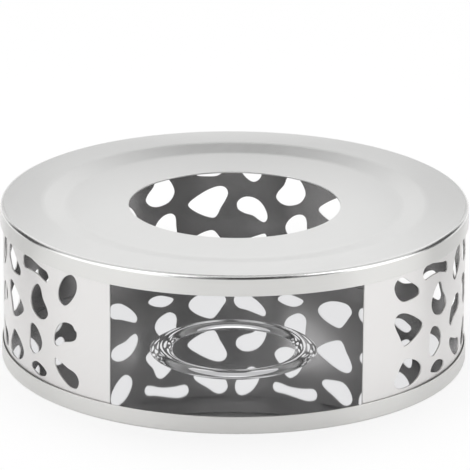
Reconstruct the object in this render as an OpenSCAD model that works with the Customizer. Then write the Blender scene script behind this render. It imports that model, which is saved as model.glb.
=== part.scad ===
// Round teapot warmer in stainless sheet: a rolled, perforated wall strip stands in a
// pressed base pan, and a dished cap with a central hole covers it.
// The origin is the centre of the footprint, +Z is up and the open window faces -Y.

/* [Overall] */
// Outer diameter of the top cap
cap_d = 146; // [130:0.5:180]
// Overall height from the table to the teapot's seat
body_h = 50; // [42:0.5:64]
// Radial clearance between the wall strip and each skirt
fit_gap = 0.3; // [0.05:0.01:0.4]

/* [Top cap] */
// Sheet thickness of the cap
cap_t = 0.5; // [0.4:0.05:0.7]
// Height of the cap's skirt
cap_skirt_h = 6.2; // [4:0.1:8]
// Outside radius of the bend between cap and skirt
rim_r = 1; // [0.8:0.05:1.4]
// Diameter at which the dished step starts
step_d = 118; // [108:0.5:124]
// Radial width of the dished step
step_w = 6; // [4:0.1:9]
// Depth of the dished step
step_depth = 1.4; // [0.8:0.05:2.4]
// Diameter of the central hole
hole_d = 66; // [50:0.5:80]

/* [Wall strip] */
// Sheet thickness of the wall strip
wall_t = 0.5; // [0.3:0.05:0.8]
// Open width between the strip's ends, along the arc
window_w = 80; // [60:0.5:95]
// Plain strip from the window's right side to the first pebble
end_margin = 12; // [8:0.5:20]
// Length of strip that one set of pebbles takes
pitch = 44; // [40:0.5:50]

/* [Base pan] */
// Sheet thickness of the pan
pan_t = 0.4; // [0.3:0.05:0.6]
// Height of the pan's skirt
pan_skirt_h = 5.6; // [4:0.1:8]
// Outside radius of the bend between floor and skirt
pan_bend_r = 0.8; // [0.7:0.05:1.2]
// Inner diameter of the raised ring that centres a tealight
ring_d = 39; // [38.5:0.1:44]
// Radial width of the raised ring
ring_w = 6.7; // [5:0.1:9]
// Height of the raised ring above the floor
ring_h = 1.4; // [0.6:0.05:1.6]

/* [Hidden] */
$fn = 240;

cap_r = cap_d / 2;
wall_r = cap_r - cap_t - fit_gap;
pan_r = wall_r + fit_gap + pan_t;

// The strip stands in the pan and carries the cap, with a trace of play at both ends.
// Beside a skirt the sheet's bend takes some of the height
seat_play = 0.05;
function bend_rise(r) = fit_gap < r ? r - sqrt(r * r - (r - fit_gap) * (r - fit_gap)) : 0;
wall_z0 = pan_t + bend_rise(pan_bend_r - pan_t) + seat_play;
wall_z1 = body_h - cap_t - bend_rise(rim_r - cap_t) - seat_play;

// Half the window and the start of the strip, as angles
window_a = window_w / 2 / wall_r * 180 / PI;
strip_a0 = window_a - 90;
strip_a = 360 - 2 * window_a;
strip_len = wall_r * strip_a * PI / 180;

// The pebbles fill the field between the two skirts
field_h = body_h - cap_skirt_h - pan_skirt_h;
drawn_h = 38.2;
drawn_pitch = 44;
last_gap = 2.2 * pitch / drawn_pitch;
sets = floor((strip_len - 2 * end_margin + last_gap) / pitch);
curve_steps = 2;
punch_reach = 2;
bend_points = 8;
step_points = 10;
ring_points = 14;

// One set of pebbles, drawn in a field of drawn_pitch by drawn_h: three broad ones,
// four small ones and three leaning ones, each as the few points its curve runs through
upper_wedge = [[-0.3, 34], [0.2, 35.9], [2, 37.1], [4, 36.7], [6.8, 34.7], [9.8, 32.7],
    [11.2, 30.9], [10.2, 29.4], [6.8, 29], [3.4, 29.2], [0.9, 31.3]];
middle_wedge = [[0, 23], [0.7, 24.9], [2.7, 25.6], [6, 24.7], [10.4, 22.2], [13.2, 19.8],
    [12.2, 17.9], [8.6, 15.7], [5, 14.6], [3.5, 15.6], [2.4, 18], [0.9, 20.6]];
lower_wedge = [[0.4, 3.9], [1.7, 6.3], [3.2, 8.6], [5, 10.3], [8, 9.7], [11.3, 7.9],
    [13, 5.6], [12, 3.3], [9, 1.6], [5.2, 1.1], [1.8, 1.7]];
upper_bean = [[12.9, 35.1], [13.6, 37.1], [16.4, 37.9], [20, 37.3], [24.2, 36.3], [27.4, 35.7],
    [28.4, 34], [27.6, 32.4], [25.8, 32.6], [22.4, 33.6], [18, 33.8], [14.2, 33.4]];
pear = [[18.1, 23.4], [18.2, 25.7], [19.8, 28.6], [22.3, 30.5], [24.2, 29.4], [25.3, 26.6],
    [27.3, 24.1], [27.9, 22], [26.1, 20.1], [23.3, 19.6], [19.9, 20.8]];
egg = [[17.6, 15.6], [19.2, 16.9], [21.8, 16.2], [24, 14], [24.7, 11.6], [23.4, 9.1],
    [20.3, 7.3], [18.1, 7.8], [17.1, 9.6], [17.3, 12.4]];
low_oval = [[18.2, 2.7], [19.4, 4.4], [21.8, 5.2], [24.8, 4.6], [27, 3.2], [26.1, 1.7],
    [23.2, 1], [20.2, 1.7]];
leaning_oval = [[32.9, 30.2], [33.6, 33], [35.7, 36.1], [38.8, 37.7], [40.7, 36.6], [41.2, 34.3],
    [40.4, 31.7], [38, 28.5], [35.6, 27.1], [33.6, 28.2]];
leaning_bean = [[30.8, 15], [31.4, 17.6], [33.2, 20.3], [35.8, 21.8], [38.8, 21.8], [40.9, 20],
    [40.6, 17.6], [38.4, 16.2], [35.6, 15.4], [33.4, 13.8], [31.7, 13.3]];
leaning_drop = [[31.1, 7.6], [31.6, 9.3], [34, 8.6], [37.2, 7.4], [40.3, 6.5], [41.8, 4.2],
    [40.8, 1.7], [37.8, 1.6], [34.8, 3.3], [32.5, 5.4]];
pebbles = [upper_wedge, middle_wedge, lower_wedge, upper_bean, pear, egg, low_oval,
    leaning_oval, leaning_bean, leaning_drop];

// Point on a smooth curve from b to c, where a and d are the points before and after
function between(a, b, c, d, u) = 0.5 * (2 * b + (c - a) * u
    + (2 * a - 5 * b + 4 * c - d) * u * u + (3 * b - a - 3 * c + d) * u * u * u);

// Smooth closed outline through all the given points
function closed_curve(p) = let (n = len(p)) [for (i = [0:n - 1], k = [0:curve_steps - 1])
    between(p[(i + n - 1) % n], p[i], p[(i + 1) % n], p[(i + 2) % n], k / curve_steps)];

// Half a cosine wave, from 0 at u = 0 to 1 at u = 1
function ease(u) = (1 - cos(180 * u)) / 2;

// Radius and height along the dished step, from its outer edge inwards
step_r = step_d / 2;
function step_path(z) = [for (i = [0:step_points]) let (u = i / step_points)
    [step_r - step_w * u, z - step_depth * ease(u)]];

// The raised ring is a shallow arc on a chord of ring_w
ring_mid = ring_d / 2 + ring_w / 2;
arc_r = (ring_w * ring_w / 4 + ring_h * ring_h) / (2 * ring_h);
arc_z = pan_t + ring_h - arc_r;

// Radius and height over the ring from its outer foot inwards, for a face of arc r on height z
function ring_path(r, z) = let (foot = asin((z - arc_z) / r))
    [for (i = [0:ring_points]) let (a = foot + (180 - 2 * foot) * i / ring_points)
        [ring_mid + r * cos(a), arc_z + r * sin(a)]];

// Arc about c from angle a0 to a1
function bend(c, r, a0, a1) = [for (i = [0:bend_points]) let (a = a0 + (a1 - a0) * i / bend_points)
    [c[0] + r * cos(a), c[1] + r * sin(a)]];

function reversed(p) = [for (i = [len(p) - 1:-1:0]) p[i]];

// Turns a sheet whose two faces are given as radius and height, in the same order
module pressed_sheet(face, back) {
    rotate_extrude()
        polygon(concat(face, reversed(back)));
}

module top_cap() {
    hole_r = hole_d / 2;
    skirt_z = body_h - cap_skirt_h;
    under_z = body_h - cap_t;
    rim_centre = [cap_r - rim_r, body_h - rim_r];
    color("gainsboro")
    pressed_sheet(
        face = concat([[cap_r, skirt_z]], bend(rim_centre, rim_r, 0, 90),
            step_path(body_h), [[hole_r, body_h - step_depth]]),
        back = concat([[cap_r - cap_t, skirt_z]], bend(rim_centre, rim_r - cap_t, 0, 90),
            step_path(under_z), [[hole_r, under_z - step_depth]]));
}

module pebble_punch(outline, along) {
    scaled = [for (q = outline) [q[0] * pitch / drawn_pitch, q[1] * field_h / drawn_h]];
    centre = (min([for (q = scaled) q[0]]) + max([for (q = scaled) q[0]])) / 2;
    rotate([0, 0, strip_a0 + (along + centre) / wall_r * 180 / PI])
        translate([wall_r - wall_t - punch_reach, 0, pan_skirt_h])
            rotate([90, 0, 90])
                linear_extrude(wall_t + 2 * punch_reach)
                    polygon([for (q = closed_curve(scaled)) [q[0] - centre, q[1]]]);
}

module perforated_wall() {
    color("silver")
    difference() {
        rotate([0, 0, strip_a0])
            rotate_extrude(angle = strip_a)
                translate([wall_r - wall_t, wall_z0])
                    square([wall_t, wall_z1 - wall_z0]);
        for (i = [0:sets - 1])
            for (outline = pebbles)
                pebble_punch(outline, end_margin + i * pitch);
    }
}

module base_pan() {
    bend_centre = [pan_r - pan_bend_r, pan_bend_r];
    color("lightgray")
    pressed_sheet(
        face = concat([[pan_r, pan_skirt_h]], bend(bend_centre, pan_bend_r, 0, -90),
            ring_path(arc_r - pan_t, 0), [[0, 0]]),
        back = concat([[pan_r - pan_t, pan_skirt_h]], bend(bend_centre, pan_bend_r - pan_t, 0, -90),
            ring_path(arc_r, pan_t), [[0, pan_t]]));
}

top_cap();
perforated_wall();
base_pan();
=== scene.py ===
import math

import bmesh
import bpy
from mathutils import Matrix, Vector


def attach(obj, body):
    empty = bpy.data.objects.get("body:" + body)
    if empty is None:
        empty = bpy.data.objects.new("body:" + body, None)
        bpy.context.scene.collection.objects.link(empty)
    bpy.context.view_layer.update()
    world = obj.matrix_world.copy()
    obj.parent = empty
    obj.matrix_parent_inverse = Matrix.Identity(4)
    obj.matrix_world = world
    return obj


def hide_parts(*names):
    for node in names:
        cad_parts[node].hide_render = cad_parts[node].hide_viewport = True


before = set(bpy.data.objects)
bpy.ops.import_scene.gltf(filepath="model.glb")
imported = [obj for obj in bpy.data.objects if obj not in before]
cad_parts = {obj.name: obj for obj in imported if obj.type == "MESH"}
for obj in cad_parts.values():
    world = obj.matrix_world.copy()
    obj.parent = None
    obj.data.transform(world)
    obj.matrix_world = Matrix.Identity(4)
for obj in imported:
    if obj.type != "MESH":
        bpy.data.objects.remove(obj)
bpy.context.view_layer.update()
scene = bpy.context.scene
mm = 0.001
near = {"weld": 1e-7, "cut": 1e-6, "match": 2e-6}  # how close counts as the same place, in m
print("frame loaded:", ", ".join(sorted(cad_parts)))


def linearColour(hexCode):
    # sRGB hex to the linear values that a shader socket takes
    parts = [int(hexCode[i:i + 2], 16) / 255 for i in (1, 3, 5)]
    return [c / 12.92 if c <= 0.04045 else ((c + 0.055) / 1.055) ** 2.4 for c in parts] + [1]


def addNode(tree, kind, settings=None, inputs=None):
    # one node with its settings; an input is a value, or the socket that feeds it
    # a Mix node's inputs go by number: 2 and 3 are its two floats, 6 and 7 its two colours
    node = tree.nodes.new(kind)
    for key, value in (settings or {}).items():
        setattr(node, key, value)
    for key, value in (inputs or {}).items():
        if isinstance(value, bpy.types.NodeSocket):
            tree.links.new(value, node.inputs[key])
        else:
            node.inputs[key].default_value = value
    return node


def emptyTree(owner):
    owner.use_nodes = True
    owner.node_tree.nodes.clear()
    return owner.node_tree


# camera: a long lens 1.3 m away, a little left of the window's middle

camera = {
    "target": (0.18, 0.0, 38.384),  # mm
    "azimuth": -0.85,               # degrees round from the window's middle
    "elevation": 18.667,
    "roll": 0.413,                  # the far right of the picture sits a hair low
    "distance": 1300,               # mm
    "sensor": 36,                   # mm
    "lens": 318.74,                 # mm
    "clip": (0.1, 20),              # m
}


def makeCamera(c):
    data = bpy.data.cameras.new("studioCamera")
    data.sensor_width = c["sensor"]
    data.lens = c["lens"]
    data.clip_start, data.clip_end = c["clip"]
    studioCamera = bpy.data.objects.new("studioCamera", data)
    scene.collection.objects.link(studioCamera)
    azimuth, elevation = math.radians(c["azimuth"]), math.radians(c["elevation"])
    back = Vector((math.sin(azimuth) * math.cos(elevation),
                   -math.cos(azimuth) * math.cos(elevation),
                   math.sin(elevation)))
    level = (-back).to_track_quat("-Z", "Y").to_matrix()
    turned = level @ Matrix.Rotation(math.radians(c["roll"]), 3, "Z")
    studioCamera.rotation_mode = "QUATERNION"
    studioCamera.rotation_quaternion = turned.to_quaternion()
    studioCamera.location = (Vector(c["target"]) + back * c["distance"]) * mm
    scene.camera = studioCamera


makeCamera(camera)
print("camera placed")


# steels: one kind of stainless sheet in the finishes that rolling, brushing and pressing leave; the
# colours of the skirts and of the wall's inner side are darkened as painted shade
# lengths and widths of grain are mm, and coarser than real grain, which is finer than a pixel

grain = {
    "detail": 3, "roughness": 0.6,  # of the noise that is drawn out into grain
    "low": 0.25, "high": 0.75,      # nearly all of its values lie between these
    "cloudDetail": 2,
    "upright": 0.5, "flat": 0.8,    # a normal's Z up to which a face stands, and from which it lies
    "crosswise": 0.25,              # a quarter turn, so that brushing spreads the gloss across itself
}


def drawnOutNoise(tree, source, scale):
    stretched = addNode(tree, "ShaderNodeMapping", inputs={"Vector": source, "Scale": scale})
    noise = addNode(tree, "ShaderNodeTexNoise", inputs={
        "Vector": stretched.outputs["Vector"], "Scale": 1,
        "Detail": grain["detail"], "Roughness": grain["roughness"]})
    return noise.outputs["Fac"]


def sheetGrain(tree, place, m):
    # along the strip where the piece has a map of it
    lengthwise, across = 1 / (m["grainLength"] * mm), 1 / (m["grainWidth"] * mm)
    if m.get("uv"):
        return drawnOutNoise(tree, place.outputs["UV"], (lengthwise, across, 1))
    # else straight on what lies flat, and level on what stands up
    turned = addNode(tree, "ShaderNodeMapping", inputs={
        "Vector": place.outputs["Object"], "Rotation": (0, 0, math.radians(m["grainTurn"]))})
    flatGrain = drawnOutNoise(tree, turned.outputs["Vector"], (lengthwise, across, 1))
    uprightGrain = drawnOutNoise(tree, place.outputs["Object"], (lengthwise, lengthwise, across))
    facing = addNode(tree, "ShaderNodeNewGeometry")
    parts = addNode(tree, "ShaderNodeSeparateXYZ", inputs={"Vector": facing.outputs["Normal"]})
    size = addNode(tree, "ShaderNodeMath", {"operation": "ABSOLUTE"}, {0: parts.outputs["Z"]})
    lying = addNode(tree, "ShaderNodeMapRange", inputs={
        "Value": size.outputs[0], "From Min": grain["upright"], "From Max": grain["flat"]})
    both = addNode(tree, "ShaderNodeMix", {"data_type": "FLOAT"}, {
        "Factor": lying.outputs["Result"], 2: uprightGrain, 3: flatGrain})
    return both.outputs[0]


def steelMaterial(m):
    material = bpy.data.materials.new(m["name"])
    tree = emptyTree(material)
    place = addNode(tree, "ShaderNodeTexCoord")
    grainValue = sheetGrain(tree, place, m)
    cloud = addNode(tree, "ShaderNodeTexNoise", inputs={
        "Vector": place.outputs["Object"],
        "Scale": 1 / (m["cloudSize"] * mm), "Detail": grain["cloudDetail"]})
    rough = addNode(tree, "ShaderNodeMapRange", inputs={
        "Value": grainValue, "From Min": grain["low"], "From Max": grain["high"],
        "To Min": m["roughness"] - m["roughSpread"], "To Max": m["roughness"] + m["roughSpread"]})
    bump = addNode(tree, "ShaderNodeBump", inputs={
        "Strength": m["grainStrength"], "Distance": m["grainDepth"] * mm, "Height": grainValue})
    mottle = addNode(tree, "ShaderNodeMix", {"data_type": "FLOAT"}, {
        "Factor": m["streaks"], 2: cloud.outputs["Fac"], 3: grainValue})
    tone = addNode(tree, "ShaderNodeMix", {"data_type": "RGBA"}, {
        "Factor": mottle.outputs[0],
        6: linearColour(m["colours"][0]), 7: linearColour(m["colours"][1])})
    shader = addNode(tree, "ShaderNodeBsdfPrincipled", inputs={
        "Base Color": tone.outputs[2], "Metallic": m.get("metal", 1.0),
        "Roughness": rough.outputs["Result"], "Normal": bump.outputs["Normal"]})
    if m.get("stretch"):
        # level brushing spreads the gloss up and down
        aroundAxis = addNode(tree, "ShaderNodeTangent", {"direction_type": "RADIAL", "axis": "Z"})
        tree.links.new(aroundAxis.outputs[0], shader.inputs["Tangent"])
        shader.inputs["Anisotropic"].default_value = m["stretch"]
        shader.inputs["Anisotropic Rotation"].default_value = grain["crosswise"]
    addNode(tree, "ShaderNodeOutputMaterial", inputs={"Surface": shader.outputs["BSDF"]})
    return material


# 304 stainless, brushed to a satin before pressing: pale, soft reflections without edges
satinSteel = steelMaterial({
    "name": "satinBrushedSteel",
    "colours": ("#e2e2e1", "#e8e8e7"),
    "roughness": 0.33, "roughSpread": 0.05,
    "grainTurn": -50, "grainLength": 12, "grainWidth": 0.6,
    "grainStrength": 1.0, "grainDepth": 0.01,
    "cloudSize": 35, "streaks": 0.4,
})

# the satin where the tool has pressed the cap over into its skirt, burnished: sharper light
burnishedSteel = steelMaterial({
    "name": "pressBurnishedSteel",
    "colours": ("#e2e2e1", "#e8e8e7"),
    "roughness": 0.22, "roughSpread": 0.03,
    "grainTurn": -50, "grainLength": 12, "grainWidth": 0.6,
    "grainStrength": 0.3, "grainDepth": 0.01,
    "cloudSize": 35, "streaks": 0.4,
})

# the skirts, brushed round: their gloss is drawn out up and down; their colours, darker than the
# top's and the wall's, are painted shade
shadedSkirtSteel = steelMaterial({
    "name": "roundBrushedSteelPaintedShade", "stretch": 0.75,
    "colours": ("#d8d7d5", "#e1e1df"),
    "roughness": 0.34, "roughSpread": 0.05,
    "grainTurn": 0, "grainLength": 30, "grainWidth": 0.5,
    "grainStrength": 0.5, "grainDepth": 0.01,
    "cloudSize": 35, "streaks": 0.4,
})

# the same sheet rolled into the wall, its grain running along the strip
wallSteel = steelMaterial({
    "name": "rolledWallSteel", "uv": True, "stretch": 0.75,
    "colours": ("#dbd9d8", "#e8e7e6"),
    "roughness": 0.34, "roughSpread": 0.07,
    "grainLength": 30, "grainWidth": 0.5,
    "grainStrength": 0.8, "grainDepth": 0.01,
    "cloudSize": 30, "streaks": 0.6,
})

# the wall's inner side as it comes from the mill, a little sharper; its darker colour is painted
# shade for the inside of the wall
innerWallShadedSteel = steelMaterial({
    "name": "innerWallPaintedShadeSteel", "uv": True,
    "colours": ("#a9a8a8", "#b2b1b0"),
    "roughness": 0.2, "roughSpread": 0.04,
    "grainLength": 30, "grainWidth": 0.4,
    "grainStrength": 0.2, "grainDepth": 0.01,
    "cloudSize": 30, "streaks": 0.6,
})

# bright annealed sheet: the pan's floor mirrors the cut-outs with clean edges
mirrorSteel = steelMaterial({
    "name": "brightAnnealedSteel",
    "colours": ("#dededf", "#e3e3e5"), "metal": 0.9,  # a trace of haze from fine scratches
    "roughness": 0.025, "roughSpread": 0.008,
    "grainTurn": 0, "grainLength": 40, "grainWidth": 0.5,
    "grainStrength": 0.06, "grainDepth": 0.004,
    "cloudSize": 25, "streaks": 0.3,
})
print("steels mixed")


# tools for pressed and rolled sheet

def spinSheet(profile, steps):
    # turns a few (radius, height) points in mm into an open shell round Z
    bm = bmesh.new()
    points = [bm.verts.new((r * mm, 0, z * mm)) for r, z in profile]
    for a, b in zip(points, points[1:]):
        bm.edges.new((a, b))
    bmesh.ops.spin(bm, geom=bm.verts[:] + bm.edges[:], cent=(0, 0, 0), axis=(0, 0, 1),
                   dvec=(0, 0, 0), angle=2 * math.pi, steps=steps, use_merge=True)
    bmesh.ops.remove_doubles(bm, verts=bm.verts[:], dist=near["weld"])
    bmesh.ops.recalc_face_normals(bm, faces=bm.faces[:])
    return bm


def ringEdges(bm, radius, height):
    # the edges of the circle with this radius and height in mm
    def onIt(v):
        return (abs(math.hypot(v.co.x, v.co.y) - radius * mm) < near["match"]
                and abs(v.co.z - height * mm) < near["match"])
    return [e for e in bm.edges if onIt(e.verts[0]) and onIt(e.verts[1])]


def roundRing(bm, radius, height, offset, segments):
    bmesh.ops.bevel(bm, geom=ringEdges(bm, radius, height), offset=offset * mm,
                    offset_type="OFFSET", segments=segments, profile=0.5,
                    affect="EDGES", material=-1, clamp_overlap=False)


def finishPiece(name, bm, materials, node):
    mesh = bpy.data.meshes.new(name)
    bm.to_mesh(mesh)
    bm.free()
    mesh.shade_smooth()
    for m in materials:
        mesh.materials.append(m)
    piece = bpy.data.objects.new(name, mesh)
    scene.collection.objects.link(piece)
    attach(piece, "root")
    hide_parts(node)
    print(name, "made:", len(mesh.polygons), "faces")
    return piece


def keepFlatsFlat(piece):
    # the narrow rounded edges take the turn in the light, the broad faces stay true
    weigh = piece.modifiers.new("keepFlats", "WEIGHTED_NORMAL")
    weigh.mode = "FACE_AREA"
    weigh.keep_sharp = True


# top cap, one pressed disc

# sizes are mm; rounds are the faces that make up a bend, steps those that make up a turn
cap = {
    "radius": 73, "top": 50, "skirtFoot": 43.8,
    "sheet": 0.5,
    "rimBend": 1.3, "rimRounds": 8,
    "stepOuter": 59.8, "stepInner": 52.2, "stepDepth": 1.4,
    "stepBend": 1.0, "stepRounds": 5,
    "holeRadius": 33,
    "cutEdge": 0.09, "cutRounds": 2,
    "upright": 0.15,  # a face outside the step with less of its normal in Z is the skirt's
    "steps": 288,
}


def makeCap(c):
    low = c["top"] - c["stepDepth"]
    bm = spinSheet([(c["radius"], c["skirtFoot"]), (c["radius"], c["top"]),
                    (c["stepOuter"], c["top"]), (c["stepInner"], low),
                    (c["holeRadius"], low)], c["steps"])
    roundRing(bm, c["radius"], c["top"], c["rimBend"], c["rimRounds"])
    roundRing(bm, c["stepOuter"], c["top"], c["stepBend"], c["stepRounds"])
    roundRing(bm, c["stepInner"], low, c["stepBend"], c["stepRounds"])
    bmesh.ops.recalc_face_normals(bm, faces=bm.faces[:])
    bmesh.ops.solidify(bm, geom=bm.faces[:], thickness=c["sheet"] * mm)
    for radius, height in ((c["radius"], c["skirtFoot"]), (c["radius"] - c["sheet"], c["skirtFoot"]),
                           (c["holeRadius"], low), (c["holeRadius"], low - c["sheet"])):
        roundRing(bm, radius, height, c["cutEdge"], c["cutRounds"])
    for face in bm.faces:
        out = face.calc_center_median().xy.length
        if abs(face.normal.z) < c["upright"] and out > c["stepOuter"] * mm:
            face.material_index = 1
        elif out > (c["radius"] - c["rimBend"]) * mm:
            face.material_index = 2
    # the skirt faces take the skirt steel, whose darker colour is painted shade
    piece = finishPiece("topCapSheet", bm, [satinSteel, shadedSkirtSteel, burnishedSteel],
                        "top_cap")
    keepFlatsFlat(piece)


makeCap(cap)


# base pan, one pressed disc with its skirt turned up and a raised ring

pan = {
    "radius": 72.9, "skirtTop": 5.6,
    "sheet": 0.4,
    "floorBend": 0.8, "floorRounds": 6,
    "ringMiddle": 22.85, "ringWidth": 6.7, "ringHeight": 1.4,  # a shallow arc in section
    "ringSteps": 16, "ringFootBend": 0.35, "ringFootRounds": 4,
    "middleCircle": 10,  # keeps the triangles at the floor's middle short
    "cutEdge": 0.08, "cutRounds": 2,
    "floorward": 0.2,  # a face inside the bend with more of its normal in Z is the mirror floor's
    "steps": 288,
}


def makePan(p):
    # the ring's underside is an arc one sheet inside the arc of its top
    topRadius = (p["ringWidth"] ** 2 / 4 + p["ringHeight"] ** 2) / (2 * p["ringHeight"])
    centre = p["sheet"] + p["ringHeight"] - topRadius
    arcRadius = topRadius - p["sheet"]
    foot = math.asin(-centre / arcRadius)
    turns = [foot + (math.pi - 2 * foot) * i / p["ringSteps"] for i in range(p["ringSteps"] + 1)]
    arc = [(p["ringMiddle"] + arcRadius * math.cos(a), centre + arcRadius * math.sin(a))
           for a in turns]
    bm = spinSheet([(p["radius"], p["skirtTop"]), (p["radius"], 0),
                    *arc, (p["middleCircle"], 0), (0, 0)], p["steps"])
    roundRing(bm, p["radius"], 0, p["floorBend"], p["floorRounds"])
    for radius, height in (arc[0], arc[-1]):
        roundRing(bm, radius, height, p["ringFootBend"], p["ringFootRounds"])
    bmesh.ops.recalc_face_normals(bm, faces=bm.faces[:])
    under = min(bm.faces, key=lambda f: f.calc_center_median().z)
    if under.normal.z > 0:
        bmesh.ops.reverse_faces(bm, faces=bm.faces[:])
    bmesh.ops.solidify(bm, geom=bm.faces[:], thickness=p["sheet"] * mm)
    for radius in (p["radius"], p["radius"] - p["sheet"]):
        roundRing(bm, radius, p["skirtTop"], p["cutEdge"], p["cutRounds"])
    inside = (p["radius"] - p["floorBend"]) * mm
    for face in bm.faces:
        out = face.calc_center_median().xy.length
        if face.normal.z > p["floorward"] and out < inside:
            face.material_index = 1
    # the pan's outside takes the skirt steel, whose darker colour is painted shade
    piece = finishPiece("basePanSheet", bm, [shadedSkirtSteel, mirrorSteel], "base_pan")
    keepFlatsFlat(piece)


makePan(pan)


# wall: a flat strip with punched pebbles, then rolled into a C

wall = {
    "outerRadius": 72.2, "sheet": 0.5,
    "foot": 0.463, "head": 49.3,   # in the pan's bend and just under the cap's
    "windowArc": 80, "endMargin": 12, "pitch": 44, "sets": 8,
    "fieldFoot": 5.6,              # the pebbles start level with the top of the pan's skirt
    "cutEdge": 0.07,
    "lengths": 10, "rollsEach": 15,  # makes 150 stretches, between which the strip bends
    "curvePoints": 3,              # stretches from one point of a pebble to the next
    "innerSide": -0.5,             # a normal's Z below which a face lies on the inner side
}

# one set of pebbles in mm: along the strip from the set's start, up from the pan's skirt
pebbles = {
    "upperWedge": ((-0.3, 34), (0.2, 35.9), (2, 37.1), (4, 36.7), (6.8, 34.7), (9.8, 32.7),
                   (11.2, 30.9), (10.2, 29.4), (6.8, 29), (3.4, 29.2), (0.9, 31.3)),
    "middleWedge": ((0, 23), (0.7, 24.9), (2.7, 25.6), (6, 24.7), (10.4, 22.2), (13.2, 19.8),
                    (12.2, 17.9), (8.6, 15.7), (5, 14.6), (3.5, 15.6), (2.4, 18), (0.9, 20.6)),
    "lowerWedge": ((0.4, 3.9), (1.7, 6.3), (3.2, 8.6), (5, 10.3), (8, 9.7), (11.3, 7.9),
                   (13, 5.6), (12, 3.3), (9, 1.6), (5.2, 1.1), (1.8, 1.7)),
    "upperBean": ((12.9, 35.1), (13.6, 37.1), (16.4, 37.9), (20, 37.3), (24.2, 36.3), (27.4, 35.7),
                  (28.4, 34), (27.6, 32.4), (25.8, 32.6), (22.4, 33.6), (18, 33.8), (14.2, 33.4)),
    "pear": ((18.1, 23.4), (18.2, 25.7), (19.8, 28.6), (22.3, 30.5), (24.2, 29.4), (25.3, 26.6),
             (27.3, 24.1), (27.9, 22), (26.1, 20.1), (23.3, 19.6), (19.9, 20.8)),
    "egg": ((17.6, 15.6), (19.2, 16.9), (21.8, 16.2), (24, 14), (24.7, 11.6), (23.4, 9.1),
            (20.3, 7.3), (18.1, 7.8), (17.1, 9.6), (17.3, 12.4)),
    "lowOval": ((18.2, 2.7), (19.4, 4.4), (21.8, 5.2), (24.8, 4.6), (27, 3.2), (26.1, 1.7),
                (23.2, 1), (20.2, 1.7)),
    "leaningOval": ((32.9, 30.2), (33.6, 33), (35.7, 36.1), (38.8, 37.7), (40.7, 36.6), (41.2, 34.3),
                    (40.4, 31.7), (38, 28.5), (35.6, 27.1), (33.6, 28.2)),
    "leaningBean": ((30.8, 15), (31.4, 17.6), (33.2, 20.3), (35.8, 21.8), (38.8, 21.8), (40.9, 20),
                    (40.6, 17.6), (38.4, 16.2), (35.6, 15.4), (33.4, 13.8), (31.7, 13.3)),
    "leaningDrop": ((31.1, 7.6), (31.6, 9.3), (34, 8.6), (37.2, 7.4), (40.3, 6.5), (41.8, 4.2),
                    (40.8, 1.7), (37.8, 1.6), (34.8, 3.3), (32.5, 5.4)),
}


def addOutline(curve, points, smooth):
    # one closed outline in mm; a smooth one runs through its points without a corner
    if not smooth:
        spline = curve.splines.new("POLY")
        spline.points.add(len(points) - 1)
        for p, (x, y) in zip(spline.points, points):
            p.co = (x * mm, y * mm, 0, 1)
    else:
        spline = curve.splines.new("BEZIER")
        spline.bezier_points.add(len(points) - 1)
        for i, p in enumerate(spline.bezier_points):
            here = Vector(points[i]) * mm
            # each handle is a sixth of the step from the point before to the point after
            lean = (Vector(points[(i + 1) % len(points)]) - Vector(points[i - 1])) * mm / 6
            p.handle_left_type = p.handle_right_type = "FREE"
            p.co = here.to_3d()
            p.handle_left = (here - lean).to_3d()
            p.handle_right = (here + lean).to_3d()
    spline.use_cyclic_u = True


def punchStrip(w, length):
    # the strip lying flat: x runs along it, y up the wall, z is the depth in the sheet
    strip = bpy.data.curves.new("flatStrip", "CURVE")
    strip.dimensions = "2D"
    strip.fill_mode = "BOTH"
    strip.resolution_u = w["curvePoints"]
    # the cut edges are bevelled within the outlines
    strip.extrude = (w["sheet"] / 2 - w["cutEdge"]) * mm
    strip.bevel_depth = w["cutEdge"] * mm
    strip.bevel_resolution = 0
    strip.offset = -w["cutEdge"] * mm
    foot, head = w["foot"], w["head"]
    addOutline(strip, ((0, foot), (length, foot), (length, head), (0, head)), False)
    for number in range(w["sets"]):
        start = w["endMargin"] + number * w["pitch"]
        for outline in pebbles.values():
            addOutline(strip, [(start + x, w["fieldFoot"] + y) for x, y in outline], True)
    holder = bpy.data.objects.new("flatStrip", strip)
    scene.collection.objects.link(holder)
    filled = holder.evaluated_get(bpy.context.evaluated_depsgraph_get())
    flatMesh = bpy.data.meshes.new_from_object(filled)
    bpy.data.objects.remove(holder)
    bm = bmesh.new()
    bm.from_mesh(flatMesh)
    bpy.data.meshes.remove(flatMesh)
    bmesh.ops.remove_doubles(bm, verts=bm.verts[:], dist=near["cut"])
    return bm


def addRollLines(bm, w, length):
    # coarse cuts first, so that the fine ones only handle the piece of strip they lie in
    coarse = length * mm / w["lengths"]
    for i in range(1, w["lengths"]):
        bmesh.ops.bisect_plane(bm, geom=bm.verts[:] + bm.edges[:] + bm.faces[:], dist=near["cut"],
                               plane_co=(coarse * i, 0, 0), plane_no=(1, 0, 0))
    shares = [[] for _ in range(w["lengths"])]
    for face in bm.faces:
        shares[min(int(face.calc_center_bounds().x / coarse), w["lengths"] - 1)].append(face)
    for i, share in enumerate(shares):
        part = list(dict.fromkeys(g for f in share for g in (*f.verts, *f.edges))) + share
        for k in range(1, w["rollsEach"]):
            part = bmesh.ops.bisect_plane(
                bm, geom=part, dist=near["cut"], plane_no=(1, 0, 0),
                plane_co=(coarse * (i + k / w["rollsEach"]), 0, 0))["geom"]


def rollStrip(bm, w):
    # x goes round the wall, from the window's right side
    startAngle = w["windowArc"] / 2 / w["outerRadius"] - math.pi / 2
    middle = (w["outerRadius"] - w["sheet"] / 2) * mm
    for v in bm.verts:
        angle = startAngle + v.co.x / (w["outerRadius"] * mm)
        radius = middle + v.co.z
        v.co = (radius * math.cos(angle), radius * math.sin(angle), v.co.y)


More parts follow.
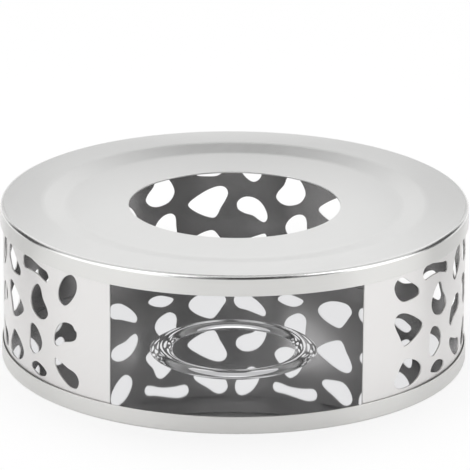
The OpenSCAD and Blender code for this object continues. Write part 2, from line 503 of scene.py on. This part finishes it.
def trueBroadFaces(piece, w):
    # both broad faces are true cylinders, so their normals point straight out or in
    outer, inner = w["outerRadius"] * mm, (w["outerRadius"] - w["sheet"]) * mm
    normals = []
    for v in piece.data.vertices:
        radius = math.hypot(v.co.x, v.co.y)
        side = 0
        if abs(radius - outer) < near["match"]:
            side = 1
        elif abs(radius - inner) < near["match"]:
            side = -1
        normals.append((side * v.co.x / radius, side * v.co.y / radius, 0))
    piece.data.normals_split_custom_set_from_vertices(normals)


def makeWall(w):
    length = 2 * math.pi * w["outerRadius"] - w["windowArc"]
    bm = punchStrip(w, length)
    addRollLines(bm, w, length)
    along = bm.loops.layers.uv.new("alongStrip")
    for face in bm.faces:
        face.smooth = True
        # faces on the inner side take the darker inner steel, whose colour is painted shade
        face.material_index = 1 if face.normal.z < w["innerSide"] else 0
        for loop in face.loops:
            loop[along].uv = (loop.vert.co.x, loop.vert.co.y)
    rollStrip(bm, w)
    piece = finishPiece("wallStrip", bm, [wallSteel, innerWallShadedSteel], "perforated_wall")
    trueBroadFaces(piece, w)


makeWall(wall)


# studio: white paper floor, soft lamps overhead and in front

studio = {
    "floorSize": 8,               # m
    "paper": "#f4f4f4",
    "paperGlow": 0.75,            # share of the paper that shows as plain white
    "paperGlowInMetal": 0.2,      # less there, so that the skirts take up the paper's own shade
    "skyLevel": 0.62,             # light on matt surfaces from all round
    # what metal sees, by degrees up from behind, over the top and down to the front: pale
    # behind, dimmer above, a bright box past the top, the dim room, a bright strip low in front
    "tent": ((0, 1.08), (48, 1.08), (57, 0.7), (90, 0.7),
             (98, 1.9), (124, 1.9), (130, 0.22), (171, 0.25), (176, 1.5), (180, 1.5)),
    "tentMost": 2,                # a ramp holds no more than 1, so its levels are shares of this
    # flat cards that only show in metal: degrees round from behind and up, then metres away,
    # wide and high, and the level
    "cards": {
        "paleBack": (0, 13.2, 0.2054, 1.0, 0.1, 1.04),
        "sideLeft": (-41, 31.5, 0.17, 0.12, 0.04, 0.95),
        "sideRight": (41, 31.5, 0.17, 0.12, 0.04, 0.95),
        "greyStrip": (0, 34.4, 0.1195, 0.5, 0.0173, 0.75),
        "wingLeft": (-40.4, 33.7, 0.158, 0.06, 0.03, 0.69),
        "wingRight": (40.4, 33.7, 0.158, 0.06, 0.03, 0.69),
        "greyBack": (0, 46.5, 1.2, 0.19, 0.5, 0.03),
        "lowLeft": (-72, 5.7, 0.15, 0.095, 0.03, 0.74),
        "lowRight": (76, 5.7, 0.15, 0.105, 0.03, 0.74),
        "blackLeft": (-54, 16, 1.0, 0.9, 0.8, 0.05),
        "blackRight": (57, 16, 1.0, 0.9, 0.8, 0.05),
        "whiteLeft": (-117, 20, 1.0, 1.2, 0.8, 1.42),
        "whiteRight": (107, 20, 1.0, 0.7, 0.8, 1.75),
        "blackFront": (169, 49, 1.1, 0.7, 1.15, 0.05),
    },
    "lamps": {
        "overheadBox": {"at": (0.0, 0.25, 1.25), "size": (1.1, 0.9), "watts": 8.0},
        "frontBox": {"at": (-0.35, -1.2, 1.2), "size": (0.9, 0.6), "watts": 5.0},
    },
    "lampTarget": (0, 0, 0.03),   # m
}


def seenByLens(tree):
    # 1 for what the camera sees, also in metal and through glass
    path = addNode(tree, "ShaderNodeLightPath")
    first = addNode(tree, "ShaderNodeMath", {"operation": "MAXIMUM"}, {
        0: path.outputs["Is Camera Ray"], 1: path.outputs["Is Glossy Ray"]})
    return addNode(tree, "ShaderNodeMath", {"operation": "MAXIMUM"}, {
        0: first.outputs[0], 1: path.outputs["Is Transmission Ray"]}).outputs[0]


def makeWorld(s):
    # the camera sees white, metal sees the tent and matt surfaces get an even light
    world = bpy.data.worlds.new("whiteStudio")
    scene.world = world
    tree = emptyTree(world)
    where = addNode(tree, "ShaderNodeTexCoord")
    parts = addNode(tree, "ShaderNodeSeparateXYZ", inputs={"Vector": where.outputs["Generated"]})
    rise = addNode(tree, "ShaderNodeMath", {"operation": "ARCTAN2"}, {
        0: parts.outputs["Z"], 1: parts.outputs["Y"]})
    share = addNode(tree, "ShaderNodeMapRange", inputs={
        "Value": rise.outputs[0], "From Min": 0, "From Max": math.pi})
    ramp = addNode(tree, "ShaderNodeValToRGB", inputs={"Fac": share.outputs["Result"]})
    stops = ramp.color_ramp.elements
    while len(stops) > 1:
        stops.remove(stops[-1])
    for i, (degrees, level) in enumerate(s["tent"]):
        stop = stops[0] if i == 0 else stops.new(degrees / 180)
        stop.position = degrees / 180
        stop.color = [level / s["tentMost"]] * 3 + [1]
    tent = addNode(tree, "ShaderNodeMath", {"operation": "MULTIPLY"}, {
        0: ramp.outputs["Color"], 1: s["tentMost"]})
    path = addNode(tree, "ShaderNodeLightPath")
    level = addNode(tree, "ShaderNodeMix", {"data_type": "FLOAT"}, {
        "Factor": path.outputs["Is Camera Ray"], 2: tent.outputs[0], 3: 1.0})
    white = addNode(tree, "ShaderNodeBackground", inputs={
        "Color": (1, 1, 1, 1), "Strength": level.outputs[0]})
    around = addNode(tree, "ShaderNodeBackground", inputs={
        "Color": (1, 1, 1, 1), "Strength": s["skyLevel"]})
    both = addNode(tree, "ShaderNodeMixShader", inputs={
        0: seenByLens(tree), 1: around.outputs[0], 2: white.outputs[0]})
    addNode(tree, "ShaderNodeOutputWorld", inputs={"Surface": both.outputs[0]})


def studioSheet(name, width, height, material):
    # a flat sheet in the studio, lying at the origin
    bm = bmesh.new()
    bmesh.ops.create_grid(bm, x_segments=1, y_segments=1, size=0.5)
    bmesh.ops.scale(bm, vec=(width, height, 1), verts=bm.verts[:])
    mesh = bpy.data.meshes.new(name)
    bm.to_mesh(mesh)
    bm.free()
    mesh.materials.append(material)
    sheet = bpy.data.objects.new(name, mesh)
    scene.collection.objects.link(sheet)
    return sheet


def makePaper(s):
    paper = bpy.data.materials.new("whitePaper")
    tree = emptyTree(paper)
    matt = addNode(tree, "ShaderNodeBsdfDiffuse", inputs={"Color": linearColour(s["paper"])})
    glow = addNode(tree, "ShaderNodeEmission", inputs={"Color": (1, 1, 1, 1), "Strength": 1})
    path = addNode(tree, "ShaderNodeLightPath")
    glowSeen = addNode(tree, "ShaderNodeMix", {"data_type": "FLOAT"}, {
        "Factor": path.outputs["Is Glossy Ray"], 2: s["paperGlow"], 3: s["paperGlowInMetal"]})
    share = addNode(tree, "ShaderNodeMath", {"operation": "MULTIPLY"}, {
        0: seenByLens(tree), 1: glowSeen.outputs[0]})
    both = addNode(tree, "ShaderNodeMixShader", inputs={
        0: share.outputs[0], 1: matt.outputs[0], 2: glow.outputs[0]})
    addNode(tree, "ShaderNodeOutputMaterial", inputs={"Surface": both.outputs[0]})
    studioSheet("paperFloor", s["floorSize"], s["floorSize"], paper)


def makeCards(s):
    for name, (azimuth, elevation, distance, width, height, level) in s["cards"].items():
        material = bpy.data.materials.new(name)
        tree = emptyTree(material)
        shine = addNode(tree, "ShaderNodeEmission", inputs={"Color": (1, 1, 1, 1), "Strength": level})
        addNode(tree, "ShaderNodeOutputMaterial", inputs={"Surface": shine.outputs[0]})
        card = studioSheet(name, width, height, material)
        way = (Matrix.Rotation(math.radians(-azimuth), 4, "Z")
               @ Matrix.Rotation(math.radians(elevation), 4, "X"))
        upright = Matrix.Translation((0, distance, 0)) @ Matrix.Rotation(math.pi / 2, 4, "X")
        card.data.transform(way @ upright)
        card.visible_camera = card.visible_diffuse = card.visible_shadow = False


def makeLamps(s):
    for name, box in s["lamps"].items():
        data = bpy.data.lights.new(name, "AREA")
        data.shape = "RECTANGLE"
        data.size, data.size_y = box["size"]
        data.energy = box["watts"]
        lamp = bpy.data.objects.new(name, data)
        scene.collection.objects.link(lamp)
        lamp.location = box["at"]
        lamp.visible_glossy = False  # metal sees the tent instead
        aim = Vector(s["lampTarget"]) - Vector(box["at"])
        lamp.rotation_mode = "QUATERNION"
        lamp.rotation_quaternion = aim.to_track_quat("-Z", "Y")


makeWorld(studio)
makePaper(studio)
makeCards(studio)
makeLamps(studio)
print("studio made")

scene.view_settings.view_transform = "Standard"
